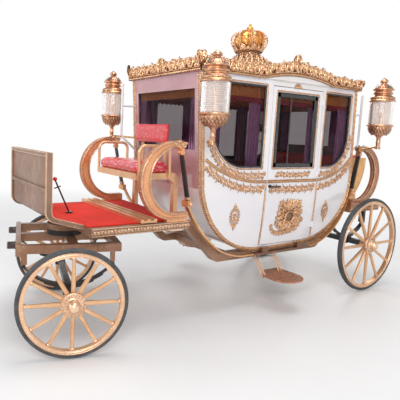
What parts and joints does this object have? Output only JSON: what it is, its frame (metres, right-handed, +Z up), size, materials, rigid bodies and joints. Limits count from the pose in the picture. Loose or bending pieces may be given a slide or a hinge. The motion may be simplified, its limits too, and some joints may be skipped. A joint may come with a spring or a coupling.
{
  "type": "royal carriage",
  "caption": "Glazed state coach: boat-shaped body slung on leather between C-springs, steered fore-carriage, opening doors, lamps, domed roof with cresting and crown.",
  "frame": {"origin": "on the ground below the middle of the whole carriage", "axes": "+X towards the horses, +Y to the carriage's left, +Z up; the fore-carriage is at rest on the lock it is parked on, 16.2 degrees to the right"},
  "size_m": [4.3397, 1.9158, 2.787],
  "materials": {
    "lacquer": "glossy white lacquer",
    "gold": "satin antique gold",
    "rose_gold": "satin rose gold paint",
    "bronze": "worn bronze",
    "frame_brown": "brown paint with gold edges",
    "panel_brown": "worn brown paint",
    "black_iron": "black paint",
    "white_paint": "gloss white paint",
    "trim_red": "glossy red upholstery",
    "carpet": "short red pile",
    "drape": "gathered cloth",
    "strap_leather": "black harness leather",
    "tyre": "solid rubber",
    "glass": "clear"
  },
  "bodies": {
    "chassis": {"perch_frame": "frame_brown", "driver_platform": "frame_brown", "rear_platform": "frame_brown", "platform_carpet": "carpet", "dashboard": "panel_brown", "brake_lever": "black_iron", "front_left_c_spring": "gold", "front_right_c_spring": "gold", "rear_left_c_spring": "gold", "rear_right_c_spring": "gold", "leather_straps": "strap_leather", "body_irons": "gold", "floor_pan": "lacquer", "front_wall": "lacquer", "rear_wall": "lacquer", "front_left_quarter": "lacquer", "front_right_quarter": "lacquer", "rear_left_quarter": "lacquer", "rear_right_quarter": "lacquer", "roof": "lacquer", "roof_cresting": "gold", "roof_crown": "gold", "window_glass": "glass", "cabin_benches": "trim_red", "cabin_cushions": "trim_red", "window_drapes": "drape", "driver_seat_frame": "rose_gold", "driver_seat_cushions": "trim_red", "rear_seat_frame": "gold", "rear_seat_cushion": "trim_red", "lamps": "gold", "lamp_glasses": "glass", "grab_rails": "white_paint", "side_steps": "bronze", "rear_axle": "black_iron"},
    "fore_carriage": {"fore_frame": "frame_brown", "turntable": "black_iron", "front_axle": "black_iron"},
    "front_left_wheel_set": {"front_left_wheel": "rose_gold", "front_left_tyre": "tyre"},
    "front_right_wheel_set": {"front_right_wheel": "rose_gold", "front_right_tyre": "tyre"},
    "rear_left_wheel_set": {"rear_left_wheel": "rose_gold", "rear_left_tyre": "tyre"},
    "rear_right_wheel_set": {"rear_right_wheel": "rose_gold", "rear_right_tyre": "tyre"},
    "left_door_leaf": {"left_door": "lacquer", "left_door_glass": "glass", "left_door_handle": "gold"},
    "right_door_leaf": {"right_door": "lacquer", "right_door_glass": "glass", "right_door_handle": "gold"}
  },
  "joints": [
    {"name": "steering", "type": "hinge", "parent": "chassis", "child": "fore_carriage", "pos_m": [1.585, 0, 0.8], "axis": [0, 0, 1], "range_deg": [-23.8, 56.2]},
    {"name": "front_left_wheel_spin", "type": "hinge", "parent": "fore_carriage", "child": "front_left_wheel_set", "pos_m": [1.77946, 0.66932, 0.405], "axis": [0.279, 0.9603, 0], "continuous": true},
    {"name": "front_right_wheel_spin", "type": "hinge", "parent": "fore_carriage", "child": "front_right_wheel_set", "pos_m": [1.39054, -0.66932, 0.405], "axis": [0.279, 0.9603, 0], "continuous": true},
    {"name": "rear_left_wheel_spin", "type": "hinge", "parent": "chassis", "child": "rear_left_wheel_set", "pos_m": [-1.66, 0.733, 0.51], "axis": [0, 1, 0], "continuous": true},
    {"name": "rear_right_wheel_spin", "type": "hinge", "parent": "chassis", "child": "rear_right_wheel_set", "pos_m": [-1.66, -0.733, 0.51], "axis": [0, 1, 0], "continuous": true},
    {"name": "left_door_hinge", "type": "hinge", "parent": "chassis", "child": "left_door_leaf", "pos_m": [-0.92, 0.5652, 1.35], "axis": [0, 0, 1], "range_deg": [0, 80]},
    {"name": "right_door_hinge", "type": "hinge", "parent": "chassis", "child": "right_door_leaf", "pos_m": [-0.92, -0.5652, 1.35], "axis": [0, 0, 1], "range_deg": [-80, 0]}
  ]
}
